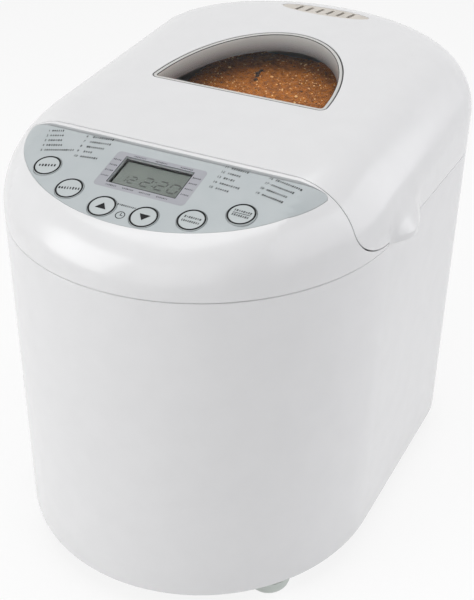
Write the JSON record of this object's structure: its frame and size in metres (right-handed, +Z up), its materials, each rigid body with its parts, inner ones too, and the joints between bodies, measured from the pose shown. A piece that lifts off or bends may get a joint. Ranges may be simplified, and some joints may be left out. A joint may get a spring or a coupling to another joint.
{
  "type": "bread machine",
  "caption": "White oval bread machine with a sloping key panel, a hinged lid with a window, a lift-out pan with a kneading blade and a belt drive below.",
  "frame": {"origin": "centre of the overall box, on the floor under the feet", "axes": "+Z up, -Y to the front (key panel), +X to the right seen from the front"},
  "size_m": [0.2538, 0.345, 0.2909],
  "materials": {
    "white_plastic": "gloss white moulding",
    "panel_film": "satin grey printed film",
    "key_plastic": "satin grey",
    "clear_pane": "clear",
    "frame_grey": "satin grey",
    "vent_beige": "matt beige grey",
    "foot_rubber": "matt pale grey",
    "dark_rubber": "matt black",
    "steel_sheet": "bright sheet steel",
    "steel_bar": "turned steel",
    "heater_steel": "dark oxidised sheath",
    "ceramic_white": "unglazed ceramic",
    "pan_coating": "dark non-stick coating",
    "cast_alloy": "cast, satin",
    "bronze_bush": "sintered bronze",
    "dark_plastic": "matt black",
    "board_green": "circuit board",
    "motor_iron": "painted iron core",
    "display_olive": "display glass with dark border"
  },
  "bodies": {
    "housing": {"body_shell": "white_plastic", "base_plate": "dark_plastic", "foot_front_left": "foot_rubber", "foot_front_right": "foot_rubber", "foot_rear_left": "foot_rubber", "foot_rear_right": "foot_rubber", "hinge_pin": "steel_bar", "console_cover": "white_plastic", "panel_overlay": "panel_film", "base_screws": "steel_bar", "chassis_plate": "steel_sheet", "chassis_screws": "steel_bar", "bearing_housing": "cast_alloy", "shaft_bushes": "bronze_bush", "motor_body": "motor_iron", "motor_grommets": "dark_rubber", "drive_belt": "dark_rubber", "power_board": "board_green", "board_bracket": "dark_plastic", "transformer": "motor_iron", "oven_deck": "white_plastic", "oven_chamber": "steel_sheet", "heater_bushes": "ceramic_white", "temperature_sensor": "steel_bar", "heating_element": "heater_steel", "heater_clips": "steel_sheet", "pan_seat": "cast_alloy", "seat_clips": "steel_sheet", "cord_gland": "dark_plastic", "display_window": "clear_pane", "display_module": "display_olive", "control_board": "board_green", "board_spacers": "dark_plastic", "key_switches": "dark_plastic"},
    "lid": {"lid_shell": "white_plastic", "lid_liner": "steel_sheet", "lid_screws": "steel_bar", "window_frame": "frame_grey", "window_pane": "clear_pane", "steam_vent": "vent_beige"},
    "drive": {"drive_shaft": "steel_bar", "drive_pulley": "dark_plastic", "drive_coupling": "cast_alloy"},
    "rotor": {"motor_shaft": "steel_bar", "motor_pulley": "cast_alloy", "motor_fan": "dark_plastic"},
    "pan": {"bread_pan": "pan_coating", "pan_foot_ring": "cast_alloy", "pan_bush": "bronze_bush", "pan_ears": "steel_sheet"},
    "handle": {"pan_handle": "steel_bar"},
    "blade": {"pan_shaft": "steel_bar", "pan_wing": "cast_alloy", "kneading_blade": "pan_coating"},
    "button_menu": {"key_menu": "key_plastic"},
    "button_weight": {"key_weight": "key_plastic"},
    "button_up": {"key_up": "key_plastic"},
    "button_down": {"key_down": "key_plastic"},
    "button_colour": {"key_colour": "key_plastic"},
    "button_start": {"key_start": "key_plastic"}
  },
  "joints": [
    {"name": "lid_hinge", "type": "hinge", "parent": "housing", "child": "lid", "pos_m": [0, 0.1675, 0.2243], "axis": [-1, 0, 0], "range_deg": [0, 85]},
    {"name": "drive_spin", "type": "hinge", "parent": "housing", "child": "drive", "pos_m": [0, 0.0395, 0.05], "axis": [0, 0, 1], "continuous": true},
    {"name": "rotor_spin", "type": "hinge", "parent": "housing", "child": "rotor", "pos_m": [0, -0.0945, 0.08], "axis": [0, 0, 1], "continuous": true},
    {"name": "pan_lift", "type": "slide", "parent": "housing", "child": "pan", "axis": [0, 0, 1], "range_m": [0, 0.01]},
    {"name": "handle_swing", "type": "hinge", "parent": "pan", "child": "handle", "pos_m": [0, 0.0395, 0.2028], "axis": [-1, 0, 0], "range_deg": [0, 52]},
    {"name": "blade_spin", "type": "hinge", "parent": "pan", "child": "blade", "pos_m": [0, 0.0395, 0.09], "axis": [0, 0, 1], "continuous": true},
    {"name": "press_menu", "type": "slide", "parent": "housing", "child": "button_menu", "axis": [0, 0.2756, -0.9613], "range_m": [0, 0.0008], "stiffness_N_per_m": 1200},
    {"name": "press_weight", "type": "slide", "parent": "housing", "child": "button_weight", "axis": [0, 0.2756, -0.9613], "range_m": [0, 0.0008], "stiffness_N_per_m": 1200},
    {"name": "press_up", "type": "slide", "parent": "housing", "child": "button_up", "axis": [0, 0.2756, -0.9613], "range_m": [0, 0.0008], "stiffness_N_per_m": 1200},
    {"name": "press_down", "type": "slide", "parent": "housing", "child": "button_down", "axis": [0, 0.2756, -0.9613], "range_m": [0, 0.0008], "stiffness_N_per_m": 1200},
    {"name": "press_colour", "type": "slide", "parent": "housing", "child": "button_colour", "axis": [0, 0.2756, -0.9613], "range_m": [0, 0.0008], "stiffness_N_per_m": 1200},
    {"name": "press_start", "type": "slide", "parent": "housing", "child": "button_start", "axis": [0, 0.2756, -0.9613], "range_m": [0, 0.0008], "stiffness_N_per_m": 1200}
  ],
  "couplings": [
    {"joint": "rotor_spin", "follows": "drive_spin", "ratio": 4.8},
    {"joint": "blade_spin", "follows": "drive_spin", "ratio": 1}
  ]
}
